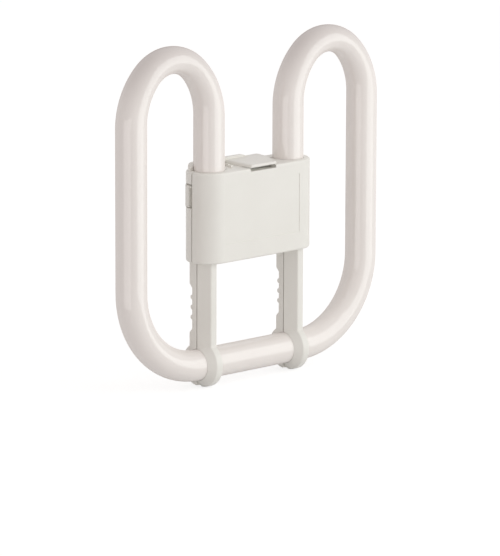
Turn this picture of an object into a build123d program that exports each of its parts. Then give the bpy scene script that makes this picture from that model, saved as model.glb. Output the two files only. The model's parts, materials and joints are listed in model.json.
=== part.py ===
"""Two-d fluorescent lamp: a flat, twice-looped glass tube in a two-part moulded cap with contact pins.

Millimetres, +Z up, +X to the lamp's right as seen from the front, and the front faces -Y.
The origin is on the recess floor at the back of the cap, midway between the two contact pins.
"""

import os
from math import atan2, degrees

from build123d import *

# Glass tube, bent in one plane
tube_d = 12.7
inner_pitch = 43.0
outer_pitch = 125.3
crown_height = 126.55
bend_stretch = 4.425
crown_tighten = 3.075
crown_squeeze = 1.6
corner_r = 34.5
leg_end_round = 2.5
exhaust_d = 3.2
exhaust_length = 3.5

# Cap: two mouldings that meet in the tube's middle plane
cap_height = 37.2
cap_centre_height = 61.0
tube_setback = 8.4
tube_clearance = 0.2
sleeve_wall = 2.45
front_wall = 1.6
end_wall = 2.2
web_wall = 2.0
cap_edge_r = 0.8
rear_proud = 0.3
cap_groove = 0.35
cap_groove_depth = 0.7

# Front panel, a shallow blank recess
panel_width = 39.8
panel_height = 24.2
panel_rise = 1.2
panel_depth = 0.2

# Snap tongue over the cover's top, wider towards the back on one side, and the slot under it
tongue_width = 13.8
tongue_rise = 1.4
tongue_lift = 0.3
tongue_flare = 5.2
tongue_side_r = 1.2
tongue_front_r = 0.4
flare_start = 5.6
flare_length = 16.9
slot_drop = 1.3
slot_depth = 5.0
barb_length = 1.0
barb_height = 0.9
snap_clearance = 0.2

# Upstand along the housing's top rear edge, and the lower lip that it slopes down to
upstand_height = 2.4
upstand_setback = 3.1
upstand_corner = 5.5
upstand_foot = 0.9
upstand_end = 2.8
lip_height = 1.25
lip_start = 5.8
lip_end = 12.5

# Nibs beside the left leg and vent notches in the sleeves' rims, one on each moulding
nib_width = 0.9
nib_length = 1.7
nib_height = 0.9
nib_setback = 1.45
front_nib_x = -11.1
rear_nib_x = -10.2
notch_r = 0.65
notch_depth = 3.0
notch_in = 15.1
notch_setback = 3.2

# Side catches beside the parting line
catch_drop = 6.3
catch_height = 8.2
catch_slot = 1.1
catch_gap = 0.6
catch_slot_depth = 1.5
catch_lead = 0.3
pad_proud = 0.5
pad_depth = 3.0
pad_overhang = 1.1

# Arms down to the bottom run
arm_pitch = 47.4
arm_width = 8.0
arm_front = 3.0
arm_depth = 5.7
arm_edge_r = 0.7
arm_wall = 1.2
arm_groove = 0.5
arm_groove_depth = 1.2
rail_depth = 4.7
waist_depth = 3.15
waist_start = 9.3
waist_length = 20.3
waist_slope = 1.7
rib_r = 1.0
rib_pitch = 4.15
rib_count = 3
rib_start = 14.8
ring_wall = 2.2
bead_height = 3.0
collar_clearance = 0.1

# Contact recess, with slots in its sides for the lampholder's catches
recess_width = 27.0
recess_height = 21.0
recess_depth = 10.0
recess_r = 2.5
shroud_wall = 2.2
floor_thickness = 2.0
holder_slot_width = 6.0
holder_slot_height = 3.0
holder_slot_setback = 3.0

# Contact pins
pin_pitch = 8.0
pin_d = 2.3
pin_length = 8.0
pin_tip_r = 0.7
pin_shank_d = 2.8
pin_flange_d = 4.0
pin_flange = 1.0
pin_tail_d = 2.0
pin_tail = 3.6
pin_clearance = 0.03

# Pegs that join the mouldings
boss_d = 3.4
boss_inset_x = 1.4
boss_inset_z = 1.2
peg_d = 1.7
peg_length = 2.6
peg_clearance = 0.1

# Heights above the cavity's floor
lead_run_height = 4.2
leg_end_height = 8.4
crimp_top_height = 10.4
seal_bottom_height = 10.9
starter_base_height = 13.4

# Leads from the tube's ends, and the openings that they pass through
lead_d = 1.2
lead_bend_r = 1.8
lead_offset = 2.9
window_height = 6.0
window_width = 10.0

# Starter, its crimps and the capacitor across it
starter_d = 8.2
starter_height = 15.4
starter_x = -6.5
starter_lead_pitch = 3.0
fine_lead_d = 0.7
fine_bend_r = 0.8
crimp_d = 2.0
crimp_length = 3.5
capacitor_x = 3.5
capacitor_thickness = 4.0
capacitor_width = 7.6
capacitor_height = 9.0
capacitor_edge_r = 0.8
capacitor_lead_pitch = 5.0
seat_clearance = 0.3
saddle_wall = 1.2
saddle_rises = (5.5, 11.0)
pocket_rise = 4.5

# Silicone rings round the legs
seal_height = 4.0
seal_groove = 0.9
seal_clearance = 0.05

# Sizes worked out from those above
tube_r = tube_d / 2
leg_x = inner_pitch / 2
outer_x = outer_pitch / 2
bend_x = (leg_x + outer_x) / 2
bend_half = (outer_x - leg_x) / 2
bend_rise = bend_half + bend_stretch
crown_r = bend_half - crown_tighten
side_r = (bend_half**2 + bend_rise**2 - 2 * bend_rise * crown_r) / (2 * (bend_half - crown_r))
tube_y = -tube_setback
run_z = -cap_centre_height
crown_z = run_z + crown_height
spring_z = crown_z - bend_rise
bore_r = tube_r + tube_clearance
shell_r = bore_r + sleeve_wall
collar_r = tube_r + collar_clearance
ring_r = collar_r + ring_wall
front_y = tube_y - shell_r
back_y = tube_y + shell_r + rear_proud
cap_x = leg_x + shell_r
cap_top = cap_height / 2
cap_bottom = -cap_height / 2
arm_x = arm_pitch / 2
cavity_x = leg_x - bore_r - web_wall
cavity_z = cap_top - end_wall
boss_pitch_x = 2 * (cavity_x - boss_inset_x)
boss_pitch_z = 2 * (cavity_z - boss_inset_z)
cavity_front = front_y + front_wall
cavity_back = -floor_thickness
lead_run_z = lead_run_height - cavity_z
leg_end_z = leg_end_height - cavity_z
crimp_top_z = crimp_top_height - cavity_z
seal_bottom_z = seal_bottom_height - cavity_z
starter_base_z = starter_base_height - cavity_z
starter_y = tube_y - lead_offset
pin_lead_y = tube_y + lead_offset
catch_start = tube_y + catch_lead
catch_z = cap_top - catch_drop - catch_height


def across(y):
    """The upright plane at this y as seen from the front, with X and Z as its sketch axes."""
    return Plane.XZ.offset(-y)


def cap_plan(grow=0.0, mode=Mode.ADD):
    """The cap's plan: a slot whose round ends are concentric with the tube's legs."""
    with Locations((0, tube_y)):
        SlotCenterToCenter(inner_pitch, 2 * (shell_r + grow), mode=mode)


def front_half():
    """Keeps what a plan sketch has in front of the parting plane."""
    with Locations((0, tube_y)):
        Rectangle(2 * outer_pitch, outer_pitch, align=(Align.CENTER, Align.MIN), mode=Mode.SUBTRACT)


def back_half(setback=0.0):
    """Keeps what a plan sketch has behind the parting plane, or behind a line set back from it."""
    with Locations((0, tube_y + setback)):
        Rectangle(2 * outer_pitch, outer_pitch, align=(Align.CENTER, Align.MAX), mode=Mode.SUBTRACT)


def hollow_cap(to_y):
    """The two sleeves for the tube's legs, the middle cavity between them and the openings for leads."""
    with BuildSketch(Plane.XY.offset(cap_top)) as sleeves:
        with Locations((-leg_x, tube_y), (leg_x, tube_y)):
            Circle(bore_r)
    extrude(sleeves.sketch, amount=-(cap_height - end_wall), mode=Mode.SUBTRACT)
    with BuildSketch(Plane.XY.offset(seal_bottom_z)) as grooves:
        with Locations((-leg_x, tube_y), (leg_x, tube_y)):
            Circle(bore_r + seal_groove)
    extrude(grooves.sketch, amount=seal_height, mode=Mode.SUBTRACT)
    with BuildSketch(across(tube_y)) as cavity:
        Rectangle(2 * cavity_x, 2 * cavity_z)
    extrude(cavity.sketch, amount=tube_y - to_y, mode=Mode.SUBTRACT)
    with BuildSketch(Plane.XY.offset(-cavity_z)) as window:
        with Locations((0, tube_y)):
            Rectangle(inner_pitch, window_width)
    extrude(window.sketch, amount=window_height, mode=Mode.SUBTRACT)


def bore_collars():
    """The bore for the bottom run, through both collars."""
    with BuildSketch(Plane.YZ.offset(-outer_x)) as bore:
        with Locations((tube_y, run_z)):
            Circle(collar_r)
    extrude(bore.sketch, amount=outer_pitch, mode=Mode.SUBTRACT)


def lean_section(plane, height, depth, wall=0.0):
    """Both arms' sections, or their cores: flanks that lean in to a flat front with rounded edges."""
    lean = degrees(atan2(depth, (arm_width - arm_front) / 2))
    with BuildSketch(plane) as section:
        with Locations((-arm_x, height), (arm_x, height)):
            Trapezoid(arm_width - 2 * wall, depth - wall, lean, align=(Align.CENTER, Align.MIN), rotation=180)
        fillet(section.vertices().group_by(Axis.Y)[0], arm_edge_r)
    return section.sketch


def top_details(nib_x, side):
    """One moulding's nib and vent notch on the cap's top. The side is -1 in front and 1 behind."""
    with BuildSketch(Plane.XY.offset(cap_top)) as nib:
        with Locations((nib_x, tube_y + side * nib_setback)):
            Rectangle(nib_width, nib_length)
    extrude(nib.sketch, amount=nib_height)
    with BuildSketch(Plane.XY.offset(cap_top)) as notch:
        with Locations((side * notch_in, tube_y + side * notch_setback)):
            Circle(notch_r)
    extrude(notch.sketch, amount=-notch_depth, mode=Mode.SUBTRACT)


def upstand():
    """The upstand that follows the cap's left end and back, and slopes down to its lip."""
    with BuildPart() as ridge:
        with BuildSketch(Plane.XY.offset(cap_top)):
            cap_plan(rear_proud - cap_edge_r)
            cap_plan(-sleeve_wall, mode=Mode.SUBTRACT)
            back_half(upstand_setback)
        extrude(amount=upstand_height)
        with BuildSketch(across(tube_y)):
            with BuildLine():
                Polyline(
                    (-cap_x, cap_top),
                    (-cap_x, cap_top + upstand_foot),
                    (upstand_corner - cap_x, cap_top + upstand_height),
                    (upstand_end, cap_top + upstand_height),
                    (lip_start, cap_top + lip_height),
                    (lip_end, cap_top + lip_height),
                    (lip_end, cap_top),
                    close=True,
                )
            make_face()
        extrude(amount=-2 * shell_r, mode=Mode.INTERSECT)
    return ridge.part


def tongue():
    """The snap tongue over the cover's top, undercut above the slot, with a barb in the slot."""
    side_x = tongue_width / 2
    back_x = side_x + tongue_flare
    flare_end = front_y + flare_length
    rear_edge = back_y - cap_edge_r
    with BuildPart() as flap:
        with BuildSketch(Plane.XY.offset(cap_top)):
            with BuildLine():
                Spline(
                    (side_x, front_y),
                    (side_x + tongue_flare / 3, front_y + flare_start),
                    (back_x, flare_end),
                    tangents=((0, 1), (0, 1)),
                )
                Polyline(
                    (back_x, flare_end),
                    (back_x, rear_edge),
                    (-side_x, rear_edge),
                    (-side_x, front_y),
                    (side_x, front_y),
                )
            make_face()
        extrude(amount=tongue_rise)
        fillet(flap.edges().group_by(Axis.Z)[-1].sort_by(Axis.X)[0], tongue_side_r)
        fillet(flap.edges().group_by(Axis.Z)[-1].sort_by(Axis.Y)[0], tongue_front_r)
        with BuildSketch(Plane.XY.offset(cap_top)):
            with Locations((0, front_y)):
                Rectangle(tongue_width, 2 * slot_depth)
        extrude(amount=tongue_lift, mode=Mode.SUBTRACT)
        with BuildSketch(Plane.XY.offset(cap_top + tongue_lift)):
            with Locations((0, front_y + slot_depth - snap_clearance)):
                Rectangle(tongue_width - 2 * snap_clearance, barb_length, align=(Align.CENTER, Align.MAX))
        extrude(amount=-tongue_lift - barb_height)
    return flap.part


def bosses(from_y):
    """A boss in each corner of the middle cavity, from a wall to the parting plane."""
    with BuildSketch(across(from_y)) as corners:
        with GridLocations(boss_pitch_x, boss_pitch_z, 2, 2):
            Circle(boss_d / 2)
    extrude(corners.sketch, amount=from_y - tube_y)


# Both sides of the left bend, where the round section is gradually squeezed towards the crown
crown_centre = Vector(-bend_x, tube_y, crown_z - crown_r)
bend_sides = []
for toward in (-1, 1):
    foot = Vector(-bend_x + toward * bend_half, tube_y, spring_z)
    side_centre = foot - Vector(toward * side_r, 0, 0)
    head = side_centre + (crown_centre - side_centre).normalized() * side_r
    with BuildLine() as rise:
        TangentArc(foot, head, tangent=(0, 0, 1))
    with BuildSketch(Plane(foot, x_dir=(0, 1, 0), z_dir=(0, 0, 1))) as round_end:
        Circle(tube_r)
    with BuildSketch(Plane(head, x_dir=(0, 1, 0), z_dir=rise.line % 1)) as squeezed_end:
        Ellipse(tube_r, tube_r - crown_squeeze / 2)
    bend_sides.append((rise.line, [round_end.sketch, squeezed_end.sketch]))
crown_turn = 2 * (head - crown_centre).get_angle(Vector(0, 0, 1))

# Glass tube: the left half is built and mirrored
with BuildPart() as glass_tube:
    # The leg in the cap, with its rounded end and the sealed exhaust tip
    with BuildSketch(Plane.XY.offset(leg_end_z)):
        with Locations((-leg_x, tube_y)):
            Circle(tube_r)
    extrude(amount=spring_z - leg_end_z)
    fillet(glass_tube.edges().group_by(Axis.Z)[0], leg_end_round)
    with BuildSketch(Plane.XY.offset(leg_end_z)):
        with Locations((-leg_x, tube_y)):
            Circle(exhaust_d / 2)
    extrude(amount=-exhaust_length)
    fillet(glass_tube.edges().group_by(Axis.Z)[0], exhaust_d / 4)

    # The bend: its two sides, and the tight crown between them
    for path, sections in bend_sides:
        sweep(sections=sections, path=path, multisection=True)
    revolve(squeezed_end.sketch, axis=Axis(crown_centre, (0, -1, 0)), revolution_arc=crown_turn)

    # The outer leg, the bottom corner and half of the bottom run
    with BuildSketch(Plane.XY.offset(run_z + corner_r)):
        with Locations((-outer_x, tube_y)):
            Circle(tube_r)
    extrude(amount=spring_z - run_z - corner_r)
    with BuildSketch(Plane.XY.offset(run_z + corner_r)):
        with Locations((-outer_x, tube_y)):
            Circle(tube_r)
    revolve(axis=Axis((-outer_x + corner_r, tube_y, run_z + corner_r), (0, -1, 0)), revolution_arc=90)
    with BuildSketch(Plane.YZ.offset(-outer_x + corner_r)):
        with Locations((tube_y, run_z)):
            Circle(tube_r)
    extrude(amount=outer_x - corner_r)
    mirror(about=Plane.YZ)

# Front cover
with BuildPart() as front_cover:
    # The front half of the cap
    with BuildSketch(Plane.XY.offset(cap_bottom)):
        cap_plan()
        front_half()
    extrude(amount=cap_height)
    rim = front_cover.edges().filter_by(lambda edge: edge.center().Y < tube_y - cap_edge_r)
    fillet(rim.group_by(Axis.Z)[0] + rim.group_by(Axis.Z)[-1], cap_edge_r)
    hollow_cap(cavity_front)

    # Arms with leaning flanks and a cored back
    below_cap = Plane.XY.offset(cap_bottom)
    extrude(lean_section(below_cap, tube_y, arm_depth), amount=run_z - cap_bottom)
    core = lean_section(below_cap, tube_y, arm_depth, arm_wall)
    extrude(core, amount=run_z + ring_r - cap_bottom, mode=Mode.SUBTRACT)

    # Collars that carry the arms' section round the front of the bottom run
    collars = lean_section(across(tube_y), run_z - collar_r, bead_height)
    revolve(collars, axis=Axis((0, tube_y, run_z), (-1, 0, 0)), revolution_arc=180)
    bore_collars()

    # Sockets for the housing's pegs
    bosses(cavity_front)
    with BuildSketch(across(tube_y)):
        with GridLocations(boss_pitch_x, boss_pitch_z, 2, 2):
            Circle(peg_d / 2 + peg_clearance)
    extrude(amount=peg_length + seat_clearance, mode=Mode.SUBTRACT)

    # Saddles for the starter and a pocket for the capacitor
    with BuildSketch(across(cavity_front)):
        with Locations(*[(starter_x, starter_base_z + rise) for rise in saddle_rises]):
            Rectangle(starter_d + 2 * saddle_wall, saddle_wall)
        with Locations((capacitor_x, starter_base_z + pocket_rise)):
            Rectangle(capacitor_thickness + 2 * (seat_clearance + saddle_wall), saddle_wall)
    extrude(amount=cavity_front - starter_y)
    with BuildSketch(Plane.XY.offset(starter_base_z)):
        with Locations((starter_x, starter_y)):
            Circle(starter_d / 2 + seat_clearance)
        with Locations((capacitor_x, starter_y)):
            Rectangle(capacitor_thickness + 2 * seat_clearance, capacitor_width + 2 * seat_clearance)
    extrude(amount=starter_height, mode=Mode.SUBTRACT)

    # The blank panel, the details on the top and the slot under the tongue
    with BuildSketch(across(front_y)):
        with Locations((0, panel_rise)):
            Rectangle(panel_width, panel_height)
    extrude(amount=-panel_depth, mode=Mode.SUBTRACT)
    top_details(front_nib_x, -1)
    with BuildSketch(across(front_y)):
        with Locations((0, cap_top)):
            Rectangle(tongue_width, 2 * slot_drop)
    extrude(amount=-slot_depth, mode=Mode.SUBTRACT)

# Rear housing
with BuildPart() as rear_housing:
    # The rear half of the cap, and the shroud round the contact recess
    with BuildSketch(Plane.XY.offset(cap_bottom)):
        cap_plan(rear_proud)
        back_half()
    extrude(amount=cap_height)
    rim = rear_housing.edges().filter_by(lambda edge: edge.center().Y > tube_y + cap_edge_r)
    fillet(rim.group_by(Axis.Z)[0] + rim.group_by(Axis.Z)[-1], cap_edge_r)
    hollow_cap(cavity_back)
    with BuildSketch(across(0)):
        RectangleRounded(recess_width + 2 * shroud_wall, recess_height + 2 * shroud_wall, recess_r + shroud_wall)
    extrude(amount=-recess_depth)
    with BuildSketch(across(0)):
        RectangleRounded(recess_width, recess_height, recess_r)
    extrude(amount=-recess_depth, mode=Mode.SUBTRACT)

    # Pin holes in the recess floor, and slots for the lampholder's catches in its sides
    with BuildSketch(across(0)):
        with Locations((-pin_pitch / 2, 0), (pin_pitch / 2, 0)):
            Circle(pin_shank_d / 2 + pin_clearance)
    extrude(amount=floor_thickness, mode=Mode.SUBTRACT)
    with BuildSketch(Plane.YZ.offset(-cap_x)):
        with Locations((recess_depth - holder_slot_setback, 0)):
            Rectangle(holder_slot_height, holder_slot_width)
    extrude(amount=2 * cap_x, mode=Mode.SUBTRACT)

    # The details on the top
    add(upstand())
    add(tongue())
    top_details(rear_nib_x, 1)

    # Side catches: a raised pad beside the parting line, with a slot in front of it and gaps at its ends
    with BuildSketch(Plane.XY.offset(catch_z)):
        cap_plan(rear_proud + pad_proud)
        cap_plan(-pad_proud, mode=Mode.SUBTRACT)
        with Locations((0, catch_start + catch_slot)):
            Rectangle(outer_pitch, pad_depth, align=(Align.CENTER, Align.MIN), mode=Mode.INTERSECT)
    extrude(amount=catch_height + pad_overhang)
    for side in (-1, 1):
        with BuildSketch(Plane.YZ.offset(side * (cap_x - catch_slot_depth))):
            with Locations((catch_start + catch_slot / 2, catch_z + catch_height / 2)):
                Rectangle(catch_slot, catch_height)
            with Locations((catch_start, catch_z), (catch_start, catch_z + catch_height + pad_overhang)):
                Rectangle(catch_slot + pad_depth, catch_gap, align=(Align.MIN, Align.CENTER))
        extrude(amount=side * shell_r, mode=Mode.SUBTRACT)

    # Rails with a notched back, ending in half rings behind the bottom run
    with BuildSketch(*[Plane.YZ.offset(x - arm_width / 2) for x in (-arm_x, arm_x)]):
        waist_top = cap_bottom - waist_start
        waist_end = waist_top - waist_length
        with BuildLine():
            Polyline(
                (tube_y, cap_bottom),
                (tube_y + rail_depth, cap_bottom),
                (tube_y + rail_depth, waist_top),
                (tube_y + waist_depth, waist_top - waist_slope),
                (tube_y + waist_depth, waist_end + waist_slope),
                (tube_y + rail_depth, waist_end),
                (tube_y + rail_depth, run_z),
                (tube_y, run_z),
                close=True,
            )
        make_face()
        with Locations(*[(tube_y + waist_depth, cap_bottom - rib_start - i * rib_pitch) for i in range(rib_count)]):
            Circle(rib_r)
        with Locations((tube_y, run_z)):
            Circle(ring_r)
        with Locations((tube_y, cap_bottom)):
            Rectangle(outer_pitch, outer_pitch, align=(Align.MAX, Align.CENTER), mode=Mode.SUBTRACT)
    extrude(amount=arm_width)
    bore_collars()

    # Grooves that show the parting line on the cap's ends and the arms' sides
    with BuildSketch(Plane.XY.offset(cap_bottom)):
        with Locations((-cap_x, tube_y), (cap_x, tube_y)):
            Rectangle(2 * cap_groove_depth, 2 * cap_groove)
    extrude(amount=cap_height, mode=Mode.SUBTRACT)
    with BuildSketch(Plane.XY.offset(cap_bottom)):
        with Locations(*[(a + b, tube_y) for a in (-arm_x, arm_x) for b in (-arm_width / 2, arm_width / 2)]):
            Rectangle(2 * arm_groove_depth, 2 * arm_groove)
    extrude(amount=run_z - ring_r - cap_bottom, mode=Mode.SUBTRACT)

    # Pegs on bosses
    bosses(cavity_back)
    with BuildSketch(across(tube_y)):
        with GridLocations(boss_pitch_x, boss_pitch_z, 2, 2):
            Circle(peg_d / 2)
    extrude(amount=peg_length)

# Starter: a glass bottle on a flat base, with two leads
with BuildPart() as starter_switch:
    with BuildSketch(Plane.XY.offset(starter_base_z)):
        with Locations((starter_x, starter_y)):
            Circle(starter_d / 2)
    extrude(amount=starter_height)
    fillet(starter_switch.edges().group_by(Axis.Z)[-1], starter_d / 3)
    with BuildSketch(Plane.XY.offset(starter_base_z)):
        with Locations((starter_x, starter_y)):
            with GridLocations(starter_lead_pitch, 1, 2, 1):
                Circle(fine_lead_d / 2)
    extrude(amount=crimp_top_z - starter_base_z)


def contact_pin(x):
    """A turned pin, seated by its flange on the inside of the recess floor."""
    flange_y = -floor_thickness - pin_flange
    with BuildPart() as pin:
        with BuildSketch(Plane((x, 0, 0))):
            with BuildLine():
                Polyline(
                    (0, flange_y - pin_tail),
                    (pin_tail_d / 2, flange_y - pin_tail),
                    (pin_tail_d / 2, flange_y),
                    (pin_flange_d / 2, flange_y),
                    (pin_flange_d / 2, -floor_thickness),
                    (pin_shank_d / 2, -floor_thickness),
                    (pin_shank_d / 2, 0),
                    (pin_d / 2, 0),
                    (pin_d / 2, pin_length),
                    (0, pin_length),
                    close=True,
                )
            make_face()
        revolve(axis=Axis((x, 0, 0), (0, 1, 0)))
        fillet(pin.edges().sort_by(Axis.Y)[-1], pin_tip_r)
    return pin.part


def wire(points, diameter, bend_r):
    """A round wire along straight runs with rounded corners."""
    with BuildLine() as route:
        FilletPolyline(*points, radius=bend_r)
    with BuildPart() as strand:
        with BuildSketch(Plane(points[0], z_dir=route.line % 0)):
            Circle(diameter / 2)
        sweep(path=route.line)
    return strand.part


def tube_lead(side, y, to_x, to_z):
    """A lead from a tube end down, across the cap and up to what it feeds."""
    start_x = side * leg_x
    points = [(start_x, y, leg_end_z), (start_x, y, lead_run_z), (to_x, y, lead_run_z), (to_x, y, to_z)]
    return wire(points, lead_d, lead_bend_r)


def crimp(x):
    """A crimp sleeve that closes on a tube lead and a starter lead."""
    with BuildPart() as sleeve:
        with BuildSketch(Plane.XY.offset(crimp_top_z)):
            with Locations((x, starter_y)):
                Circle(crimp_d / 2)
        extrude(amount=-crimp_length)
    return sleeve.part


def tube_seal(x):
    """A silicone ring between a leg and its sleeve."""
    with BuildPart() as seal:
        with BuildSketch(Plane.XY.offset(seal_bottom_z + seal_clearance)):
            with Locations((x, tube_y)):
                Circle(bore_r + seal_groove - seal_clearance)
                Circle(tube_r + seal_clearance, mode=Mode.SUBTRACT)
        extrude(amount=seal_height - 2 * seal_clearance)
    return seal.part


# Capacitor: a dipped box whose two leads reach the crimps from the front and from the back
left_crimp_x = starter_x - starter_lead_pitch / 2
right_crimp_x = starter_x + starter_lead_pitch / 2
crimp_z = crimp_top_z - crimp_length / 2
front_lead_y = starter_y - capacitor_lead_pitch / 2
back_lead_y = starter_y + capacitor_lead_pitch / 2
capacitor_leads = [
    wire([(capacitor_x, y, starter_base_z), (capacitor_x, y, crimp_z), (x, y, crimp_z), (x, end_y, crimp_z)],
         fine_lead_d, fine_bend_r)
    for x, y, end_y in (
        (left_crimp_x, front_lead_y, starter_y - crimp_d / 2),
        (right_crimp_x, back_lead_y, starter_y + crimp_d / 2),
    )
]
with BuildPart() as suppression_capacitor:
    with BuildSketch(Plane.XY.offset(starter_base_z)):
        with Locations((capacitor_x, starter_y)):
            Rectangle(capacitor_thickness, capacitor_width)
    extrude(amount=capacitor_height)
    fillet(suppression_capacitor.edges(), capacitor_edge_r)
    add(capacitor_leads)

pieces = {
    "glass_tube": glass_tube.part,
    "front_cover": front_cover.part,
    "rear_housing": rear_housing.part,
    "left_contact_pin": contact_pin(-pin_pitch / 2),
    "right_contact_pin": contact_pin(pin_pitch / 2),
    "starter_switch": starter_switch.part,
    "suppression_capacitor": suppression_capacitor.part,
    "left_pin_lead": tube_lead(-1, pin_lead_y, -pin_pitch / 2, -pin_tail_d / 2),
    "right_pin_lead": tube_lead(1, pin_lead_y, pin_pitch / 2, -pin_tail_d / 2),
    "left_starter_lead": tube_lead(-1, starter_y, left_crimp_x, crimp_top_z - crimp_length),
    "right_starter_lead": tube_lead(1, starter_y, right_crimp_x, crimp_top_z - crimp_length),
    "left_crimp": crimp(left_crimp_x),
    "right_crimp": crimp(right_crimp_x),
    "left_tube_seal": tube_seal(-leg_x),
    "right_tube_seal": tube_seal(leg_x),
}
os.makedirs("parts", exist_ok=True)
for name, piece in pieces.items():
    piece.label = name
    export_step(piece, f"parts/{name}.step")
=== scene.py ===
"""The two-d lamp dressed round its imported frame: bent glass tube, satin mouldings, pins and inner parts."""

import json
from math import cos, pi, radians, sin

import bmesh
import bpy
from mathutils import Matrix, Vector


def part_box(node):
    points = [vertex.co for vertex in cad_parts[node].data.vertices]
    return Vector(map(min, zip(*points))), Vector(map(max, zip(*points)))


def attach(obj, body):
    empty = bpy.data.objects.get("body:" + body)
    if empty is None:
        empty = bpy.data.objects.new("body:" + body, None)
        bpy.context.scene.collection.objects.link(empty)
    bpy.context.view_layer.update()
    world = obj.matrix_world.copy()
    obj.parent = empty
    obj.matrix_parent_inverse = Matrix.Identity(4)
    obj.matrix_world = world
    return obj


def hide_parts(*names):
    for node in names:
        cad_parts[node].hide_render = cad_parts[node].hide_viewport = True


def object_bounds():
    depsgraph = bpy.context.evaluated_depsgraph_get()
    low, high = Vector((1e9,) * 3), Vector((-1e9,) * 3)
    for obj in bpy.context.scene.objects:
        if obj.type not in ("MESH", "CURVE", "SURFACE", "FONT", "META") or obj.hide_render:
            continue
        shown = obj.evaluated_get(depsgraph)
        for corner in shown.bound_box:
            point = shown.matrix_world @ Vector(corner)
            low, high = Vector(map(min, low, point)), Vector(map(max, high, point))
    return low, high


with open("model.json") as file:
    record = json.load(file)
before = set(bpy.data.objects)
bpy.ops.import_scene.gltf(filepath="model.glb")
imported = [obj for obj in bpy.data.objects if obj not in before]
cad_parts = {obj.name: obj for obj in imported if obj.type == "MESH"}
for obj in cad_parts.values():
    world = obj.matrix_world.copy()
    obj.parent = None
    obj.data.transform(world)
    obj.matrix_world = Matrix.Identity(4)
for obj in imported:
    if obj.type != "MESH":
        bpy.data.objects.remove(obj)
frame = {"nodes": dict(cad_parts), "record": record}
cad_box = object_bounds()

# The tube's section and its centre line, in metres: the frame's box gives the first three
tube_low, tube_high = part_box("glass_tube")
TUBE_R = (tube_high.y - tube_low.y) / 2
TUBE_Y = (tube_high.y + tube_low.y) / 2
OUTER_X = tube_high.x - TUBE_R
LEG_X = 0.0215
RUN_Z = -0.061
CORNER_R = 0.0345

# The bends: the crown's height and radius, its rise from the straight legs, and how flat its section gets
CROWN_Z = 0.06555
CROWN_R = 0.0175
BEND_RISE = 0.025
CROWN_SQUEEZE = 0.0016
BEND_X = (LEG_X + OUTER_X) / 2

# The legs' ends inside the cap, each with its exhaust tip
LEG_END_Z = -0.008
LEG_END_ROUND = 0.0025
EXHAUST_R = 0.0016
EXHAUST_LENGTH = 0.0035
EXHAUST_ROUND = 0.0008

# Mesh steps round the tube, round its ends and along it
RING_STEPS = 72
ROUND_STEPS = 8
LEG_STEPS = 4
BEND_STEPS = 32
CORNER_STEPS = 40
RUN_STEPS = 2

# Points nearer than this are welded: across the mirror plane, and in the finished piece
MIRROR_WELD = 1e-6
WELD = 1e-7

# Colours of the powder coating: mottled between the first two; the third is painted shade, greyer, on the
# outside and tops of the bends
COATING_DARK = (0.83, 0.785, 0.755)
COATING_LIGHT = (0.89, 0.845, 0.815)
PAINTED_BEND_SHADE = (0.68, 0.63, 0.61)

# Over these heights the painted shade on the bends goes from none to full
BEND_SHADE_FROM_Z = 0.045
BEND_SHADE_TO_Z = 0.070

# The share of the coating's mottling that is in large clouds, and the rest is in fine grain
CLOUD_SHARE = 0.6

# The share of the gloss that is lost at the tube's edges, which would mirror too much of the white room
EDGE_GLOSS_LOSS = 0.9

# How much rougher the roughest spots of a surface are than the smoothest
ROUGHNESS_SPREAD = 0.1
METAL_ROUGHNESS_SPREAD = 0.15

# The room's light as a share of white, and the tints of the room and the lamps
LIGHT_LEVEL = 0.635
ROOM_TINT = (1.0, 0.95, 0.935)
LAMP_TINT = (0.955, 1.0, 0.985)
WHITE = (1.0, 1.0, 1.0)

# The floor: how far it reaches to each side, its grey and fine grain, and the glow that lifts it to white
FLOOR_REACH = 4.0
FLOOR_GREY = 0.8
FLOOR_GRAIN = 0.02
FLOOR_GLOW = 1.5
GLOW_SHARE = 0.5

# The photograph's view, fitted to the tube's outline: the lens in millimetres, the roll in degrees
SENSOR_WIDTH = 36.0
LENS = 296.872
CAMERA_PLACE = (-1.222109, -1.365690, 0.366017)
CAMERA_AIM = (-0.003492, -0.013301, -0.027647)
CAMERA_ROLL = 0.1925


# Materials

class Output:
    """A node's output: a number, colour or shader that can vary over a surface. Sums add Math nodes."""

    def __init__(self, recipe, socket):
        self.recipe = recipe
        self.socket = socket

    def maths(self, operation, *terms):
        """Adds a Math node with these terms."""
        return self.recipe.node("ShaderNodeMath", {"operation": operation}, dict(enumerate(terms)))

    def __add__(self, other):
        return self.maths("ADD", self, other)

    def __sub__(self, other):
        return self.maths("SUBTRACT", self, other)

    def __rsub__(self, other):
        return self.maths("SUBTRACT", other, self)

    def __mul__(self, other):
        return self.maths("MULTIPLY", self, other)

    def __pow__(self, other):
        return self.maths("POWER", self, other)

    def __abs__(self):
        return self.maths("ABSOLUTE", self)

    def or_more(self, other):
        """The larger of the two."""
        return self.maths("MAXIMUM", self, other)

    def step(self, low, high):
        """0 below low and 1 above high, with a soft step between."""
        return self.recipe.node(
            "ShaderNodeMapRange",
            {"interpolation_type": "SMOOTHSTEP"},
            {"Value": self, "From Min": low, "From Max": high},
        )


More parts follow.
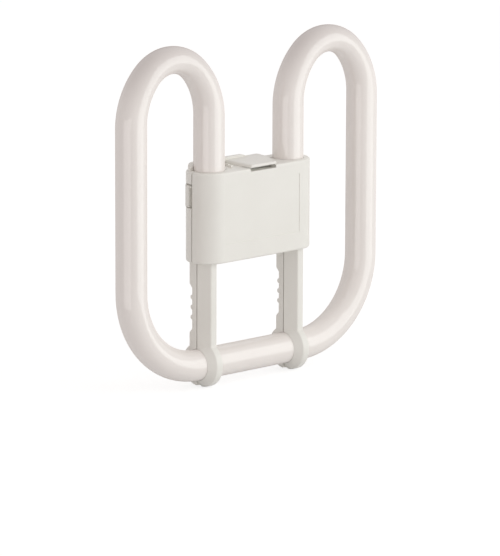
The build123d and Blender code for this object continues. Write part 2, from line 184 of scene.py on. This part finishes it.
class Recipe:
    """A node tree under construction."""

    def __init__(self, tree):
        self.tree = tree

    def node(self, kind, settings, inputs, output=0):
        """Adds a node: its settings first, then its sockets' values or links."""
        made = self.tree.nodes.new(kind)
        for name, value in settings.items():
            setattr(made, name, value)
        for name, value in inputs.items():
            self.feed(made.inputs[name], value)
        return Output(self, made.outputs[output])

    def feed(self, socket, value):
        """Links an output to a socket, or sets it to a value: three numbers for a colour."""
        if isinstance(value, Output):
            self.tree.links.new(value.socket, socket)
        elif socket.type == "RGBA":
            socket.default_value = (*value, 1.0)
        else:
            socket.default_value = value

    def mix(self, factor, low, high):
        """A colour that is low where the factor is 0 and high where it is 1."""
        return self.node(
            "ShaderNodeMix", {"data_type": "RGBA"}, {"Factor": factor, "A": low, "B": high}, "Result"
        )

    def background_rays(self):
        """1 for rays that show the background: straight from the camera, in gloss or through glass."""
        camera, gloss, glass = (
            self.node("ShaderNodeLightPath", {}, {}, f"Is {ray} Ray")
            for ray in ("Camera", "Glossy", "Transmission")
        )
        return camera.or_more(gloss).or_more(glass)


class Finish(Recipe):
    """A material under construction, with its Principled shader."""

    def __init__(self, name, **constants):
        self.material = bpy.data.materials.new(name)
        self.material.use_nodes = True
        super().__init__(self.material.node_tree)
        self.shader = self.tree.nodes["Principled BSDF"]
        self.place = self.node("ShaderNodeTexCoord", {}, {}, "Object")
        self.vary(**constants)

    def axis(self, name):
        """One coordinate of the place on the object, in metres."""
        return self.node("ShaderNodeSeparateXYZ", {}, {"Vector": self.place}, name)

    def noise(self, size, detail=2.0, squash=(1, 1, 1)):
        """Soft noise whose features are about this many metres across, and flatter along a squashed axis."""
        spread = self.node("ShaderNodeMapping", {}, {"Vector": self.place, "Scale": squash})
        return self.node(
            "ShaderNodeTexNoise",
            {},
            {"Vector": spread, "Scale": 1 / size, "Detail": detail, "Roughness": 0.5},
        )

    def bump(self, height, depth):
        """A surface raised by a height of 0 to 1, this many metres deep."""
        return self.node("ShaderNodeBump", {}, {"Height": height, "Distance": depth, "Strength": 1.0})

    def vary(self, **sockets):
        """Feeds values or outputs to the shader's sockets, and returns the material."""
        for name, value in sockets.items():
            self.feed(self.shader.inputs[name.replace("_", " ")], value)
        return self.material


def painted_shade_on_bends(finish):
    """1 along the outer side of both crowns, where shade is painted on the coating, and 0 elsewhere."""
    height = finish.axis("Z")
    across = abs(finish.axis("X")) - BEND_X
    above = height - (CROWN_Z - CROWN_R)
    reach = (across * across + above * above) ** 0.5
    return reach.step(CROWN_R - 0.5 * TUBE_R, CROWN_R + TUBE_R) * height.step(BEND_SHADE_FROM_Z, BEND_SHADE_TO_Z)


def coated_glass():
    """White powder coating seen through a glossy glass wall, with painted shade on the outer side and tops of
    the bends.
    """
    finish = Finish("coated_glass", Specular_IOR_Level=0.0, Coat_Roughness=0.04, Coat_IOR=1.58)
    cloud = finish.noise(size=0.03, detail=3.0)
    grain = finish.noise(size=0.0006)
    mottling = cloud * CLOUD_SHARE + grain * (1 - CLOUD_SHARE)
    full = finish.mix(mottling, low=COATING_DARK, high=COATING_LIGHT)
    # Painted shade: the coating's colour turns greyer outside the bends, most on their tops
    colour = finish.mix(painted_shade_on_bends(finish), low=full, high=PAINTED_BEND_SHADE)
    slant = finish.node("ShaderNodeLayerWeight", {}, {"Blend": 0.5}, "Facing")
    gloss = 1 - slant.step(low=0.5, high=0.85) * EDGE_GLOSS_LOSS
    return finish.vary(Base_Color=colour, Roughness=cloud * ROUGHNESS_SPREAD + 0.5, Coat_Weight=gloss)


def cap_plastic():
    """Warm white satin moulding with a fine spark texture."""
    finish = Finish("cap_plastic", IOR=1.5)
    cloud = finish.noise(size=0.02, detail=3.0)
    texture = finish.noise(size=0.0003, detail=3.0)
    return finish.vary(
        Base_Color=finish.mix(cloud, low=(0.80, 0.785, 0.74), high=(0.85, 0.84, 0.80)),
        Roughness=cloud * ROUGHNESS_SPREAD + 0.36,
        Normal=finish.bump(texture, depth=0.00001),
    )


def plain_metal(name, dark, light, roughness):
    """Turned or pressed metal with fine marks that run round the pins."""
    finish = Finish(name, Metallic=1.0)
    marks = finish.noise(size=0.0004, detail=3.0, squash=(1, 6, 1))
    return finish.vary(
        Base_Color=finish.mix(marks, low=dark, high=light),
        Roughness=marks * METAL_ROUGHNESS_SPREAD + roughness,
    )


def soft_skin(name, dark, light, roughness, texture_size):
    """A dull or glossy skin with slight mottling and a fine uneven surface."""
    finish = Finish(name)
    mottle = finish.noise(size=0.002, detail=3.0)
    texture = finish.noise(size=texture_size)
    return finish.vary(
        Base_Color=finish.mix(mottle, low=dark, high=light),
        Roughness=mottle * ROUGHNESS_SPREAD + roughness,
        Normal=finish.bump(texture, depth=0.00002),
    )


def clear_glass():
    """The starter's thin glass bottle, with a grey bloom inside."""
    finish = Finish("clear_glass", Transmission_Weight=0.85, IOR=1.45)
    bloom = finish.noise(size=0.003, detail=3.0)
    colour = finish.mix(bloom, low=(0.75, 0.78, 0.78), high=(0.9, 0.93, 0.93))
    return finish.vary(Base_Color=colour, Roughness=bloom * ROUGHNESS_SPREAD + 0.05)


# Shapes

def plain_mesh(name, bm, material):
    """A mesh of one material from a bmesh, which is freed."""
    mesh = bpy.data.meshes.new(name)
    bm.to_mesh(mesh)
    bm.free()
    mesh.materials.append(material)
    return mesh


def order_faces(bm):
    """Sorts the faces by their points, because the order they were made in differs from run to run."""
    bm.verts.index_update()
    ordered = sorted(bm.faces, key=lambda face: sorted(point.index for point in face.verts))
    for index, face in enumerate(ordered):
        face.index = index
    bm.faces.sort()


def add_object(name, data):
    """An object for a mesh, light or camera, linked to the scene."""
    added = bpy.data.objects.new(name, data)
    bpy.context.scene.collection.objects.link(added)
    return added


def finish_piece(name, bm, material, node):
    """Turns a bmesh into a smooth piece that stands for a node of the frame."""
    bmesh.ops.remove_doubles(bm, verts=bm.verts, dist=WELD)
    bmesh.ops.recalc_face_normals(bm, faces=bm.faces)
    order_faces(bm)
    mesh = plain_mesh(name, bm, material)
    mesh.shade_smooth()
    piece = add_object(name, mesh)
    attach(piece, "root")
    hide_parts(node)


class TubeWalk:
    """An open ring of edges that is carried along the tube's run."""

    def __init__(self, foot):
        self.bm = bmesh.new()
        bmesh.ops.create_circle(self.bm, segments=RING_STEPS, radius=TUBE_R)
        bmesh.ops.translate(self.bm, verts=self.bm.verts, vec=foot)
        self.start = self.bm.edges[:]
        self.ring = self.start
        self.foot = foot
        self.centre = foot.copy()
        self.squeeze = 1.0

    def push(self):
        """Adds a ring of faces, and returns the points of its new edge."""
        grown = bmesh.ops.extrude_edge_only(self.bm, edges=self.ring)["geom"]
        self.ring = [part for part in grown if isinstance(part, bmesh.types.BMEdge)]
        return [part for part in grown if isinstance(part, bmesh.types.BMVert)]

    def close_start(self, profile):
        """Carries the first ring through a list of radii and heights, and closes it to a point."""
        self.ring = self.start
        space = Matrix.Translation(-self.foot)
        radius, height = TUBE_R, self.foot.z
        for next_radius, next_height in profile:
            ring = self.push()
            share = next_radius / radius
            bmesh.ops.scale(self.bm, vec=(share, share, 1), space=space, verts=ring)
            bmesh.ops.translate(self.bm, verts=ring, vec=(0, 0, next_height - height))
            radius, height = next_radius, next_height
        bmesh.ops.pointmerge(self.bm, verts=ring, merge_co=Vector((self.foot.x, self.foot.y, height)))

    def straight(self, vector, steps):
        """Carries the ring straight on."""
        for _ in range(steps):
            bmesh.ops.translate(self.bm, verts=self.push(), vec=vector / steps)
            self.centre += vector / steps

    def turn(self, pivot, angle, steps, squeeze):
        """Turns about a pivot in the tube's plane, and changes the section's squeeze evenly on the way."""
        first = self.squeeze
        swing = Matrix.Rotation(angle / steps, 3, "Y")
        for step in range(steps):
            ring = self.push()
            bmesh.ops.rotate(self.bm, cent=pivot, matrix=swing, verts=ring)
            self.centre = pivot + swing @ (self.centre - pivot)
            wanted = first + (squeeze - first) * (step + 1) / steps
            self.pinch(ring, pivot, wanted / self.squeeze)
            self.squeeze = wanted

    def pinch(self, ring, pivot, factor):
        """Scales the ring along the line to the pivot, about the ring's own centre."""
        outward = (self.centre - pivot).normalized()
        depth = Vector((0, 1, 0))
        axes = Matrix((outward, depth, outward.cross(depth))).transposed().to_4x4()
        space = (Matrix.Translation(self.centre) @ axes).inverted()
        bmesh.ops.scale(self.bm, vec=(factor, 1, 1), space=space, verts=ring)


def rounding(radius, bottom, round_r):
    """Radii and heights round the lower edge of an upright cylinder."""
    angles = [step * pi / 2 / ROUND_STEPS for step in range(1, ROUND_STEPS + 1)]
    return [
        (radius - round_r * (1 - cos(angle)), bottom + round_r * (1 - sin(angle))) for angle in angles
    ]


def glass_tube(material):
    """The sealed tube: two legs with rounded ends and exhaust tips, two bends and the bottom run."""
    # Each side of a bend is an arc that leaves the leg upright and runs smoothly into the crown's arc
    half = (OUTER_X - LEG_X) / 2
    side_r = (half**2 + BEND_RISE**2 - 2 * BEND_RISE * CROWN_R) / (2 * (half - CROWN_R))
    spring_z = CROWN_Z - BEND_RISE
    crown = Vector((-BEND_X, TUBE_Y, CROWN_Z - CROWN_R))
    inner_pivot = Vector((-LEG_X - side_r, TUBE_Y, spring_z))
    outer_pivot = Vector((-OUTER_X + side_r, TUBE_Y, spring_z))
    corner_pivot = Vector((-OUTER_X + CORNER_R, TUBE_Y, RUN_Z + CORNER_R))
    lean = (crown - inner_pivot).angle(Vector((1, 0, 0)))
    squeezed = 1 - CROWN_SQUEEZE / (2 * TUBE_R)

    # The left half, from its leg's foot to the middle of the bottom run
    leg_foot = LEG_END_Z + LEG_END_ROUND
    walk = TubeWalk(Vector((-LEG_X, TUBE_Y, leg_foot)))
    walk.straight(Vector((0, 0, spring_z - leg_foot)), LEG_STEPS)
    walk.turn(inner_pivot, -lean, BEND_STEPS, squeezed)
    walk.turn(crown, -(pi - 2 * lean), BEND_STEPS, squeezed)
    walk.turn(outer_pivot, -lean, BEND_STEPS, 1.0)
    walk.straight(Vector((0, 0, corner_pivot.z - spring_z)), LEG_STEPS)
    walk.turn(corner_pivot, -pi / 2, CORNER_STEPS, 1.0)
    walk.straight(Vector((OUTER_X - CORNER_R, 0, 0)), RUN_STEPS)

    tip_z = LEG_END_Z - EXHAUST_LENGTH
    neck = [(EXHAUST_R, LEG_END_Z), (EXHAUST_R, tip_z + EXHAUST_ROUND)]
    leg_end = rounding(TUBE_R, LEG_END_Z, LEG_END_ROUND)
    walk.close_start(leg_end + neck + rounding(EXHAUST_R, tip_z, EXHAUST_ROUND))
    everything = walk.bm.verts[:] + walk.bm.edges[:] + walk.bm.faces[:]
    bmesh.ops.mirror(walk.bm, geom=everything, axis="X", merge_dist=MIRROR_WELD)
    finish_piece("glass_tube_smooth", walk.bm, material, "glass_tube")


finishes = {
    "coated_glass": coated_glass(),
    "cap_plastic": cap_plastic(),
    "pin_brass": plain_metal(
        "pin_brass", dark=(0.52, 0.38, 0.13), light=(0.66, 0.50, 0.20), roughness=0.22
    ),
    "clear_glass": clear_glass(),
    "dipped_resin": soft_skin(
        "dipped_resin", dark=(0.40, 0.08, 0.012), light=(0.50, 0.11, 0.02), roughness=0.2, texture_size=0.0008
    ),
    "lead_sleeve": soft_skin(
        "lead_sleeve", dark=(0.70, 0.70, 0.67), light=(0.78, 0.78, 0.75), roughness=0.45, texture_size=0.0003
    ),
    "tinned_crimp": plain_metal(
        "tinned_crimp", dark=(0.42, 0.42, 0.42), light=(0.55, 0.55, 0.55), roughness=0.3
    ),
    "silicone": soft_skin(
        "silicone", dark=(0.60, 0.57, 0.51), light=(0.66, 0.63, 0.57), roughness=0.6, texture_size=0.0004
    ),
}
slots = {entry["node"]: entry["material_slot"] for entry in frame["record"]["subparts"]}
for node, piece in frame["nodes"].items():
    for slot in piece.material_slots:
        slot.material = finishes[slots[node]]

glass_tube(finishes["coated_glass"])


# Floor, light and camera

def pale_floor():
    """A plain floor that keeps the object's shadow and is otherwise as white as the background."""
    finish = Finish("pale_floor", Roughness=0.9, Specular_IOR_Level=0.0)
    grain = finish.noise(size=0.05) * FLOOR_GRAIN + (FLOOR_GREY - FLOOR_GRAIN / 2)
    finish.vary(Base_Color=finish.node("ShaderNodeCombineColor", {}, {0: grain, 1: grain, 2: grain}))
    glow = finish.node("ShaderNodeEmission", {}, {"Color": WHITE, "Strength": FLOOR_GLOW})
    lit = Output(finish, finish.shader.outputs[0])
    share = finish.background_rays() * GLOW_SHARE
    both = finish.node("ShaderNodeMixShader", {}, {0: share, 1: lit, 2: glow})
    finish.feed(finish.tree.nodes["Material Output"].inputs["Surface"], both)
    return finish.material


def studio():
    """The floor under the lamp, and a soft room that shows as white."""
    bm = bmesh.new()
    bmesh.ops.create_grid(bm, x_segments=1, y_segments=1, size=FLOOR_REACH)
    bmesh.ops.translate(bm, verts=bm.verts, vec=(0, 0, cad_box[0].z))
    floor = add_object("floor", plain_mesh("floor", bm, pale_floor()))
    floor.visible_glossy = False

    world = bpy.data.worlds.new("studio")
    bpy.context.scene.world = world
    world.use_nodes = True
    room = Recipe(world.node_tree)
    background = world.node_tree.nodes["Background"]
    shown = room.background_rays()
    room.feed(background.inputs["Color"], room.mix(shown, low=ROOM_TINT, high=WHITE))
    room.feed(background.inputs["Strength"], shown * (1 - LIGHT_LEVEL) + LIGHT_LEVEL)


def aimed_object(name, data, place, aim):
    """A light or camera at a place, turned to look at a point."""
    added = add_object(name, data)
    added.location = place
    added.rotation_mode = "QUATERNION"
    added.rotation_quaternion = (Vector(aim) - Vector(place)).to_track_quat("-Z", "Y")
    return added


def lamp_light(name, place, aim, width, height, power, tint):
    """A soft rectangular light, with its power in watts."""
    light = bpy.data.lights.new(name, "AREA")
    light.shape = "RECTANGLE"
    light.size = width
    light.size_y = height
    light.energy = power
    light.color = tint
    aimed_object(name, light, place, aim)


def photo_camera():
    """The photograph's view, fitted to a frame of 500 by 556 pixels."""
    camera = bpy.data.cameras.new("photo")
    camera.sensor_width = SENSOR_WIDTH
    camera.lens = LENS
    camera.clip_start = 0.05
    camera.clip_end = 20.0
    shown = aimed_object("photo_camera", camera, CAMERA_PLACE, CAMERA_AIM)
    shown.rotation_quaternion @= Matrix.Rotation(radians(CAMERA_ROLL), 3, "Z").to_quaternion()
    bpy.context.scene.camera = shown


studio()
lamp_light(
    "front", place=(0.65, -1.126, 0.35), aim=(0, 0, 0.35), width=1.4, height=1.4, power=11.3, tint=LAMP_TINT
)
lamp_light(
    "left", place=(-1.324, -0.456, -0.25), aim=(0, 0, -0.25), width=1.3, height=0.8, power=4.4, tint=ROOM_TINT
)
photo_camera()
bpy.context.scene.view_settings.view_transform = "Standard"
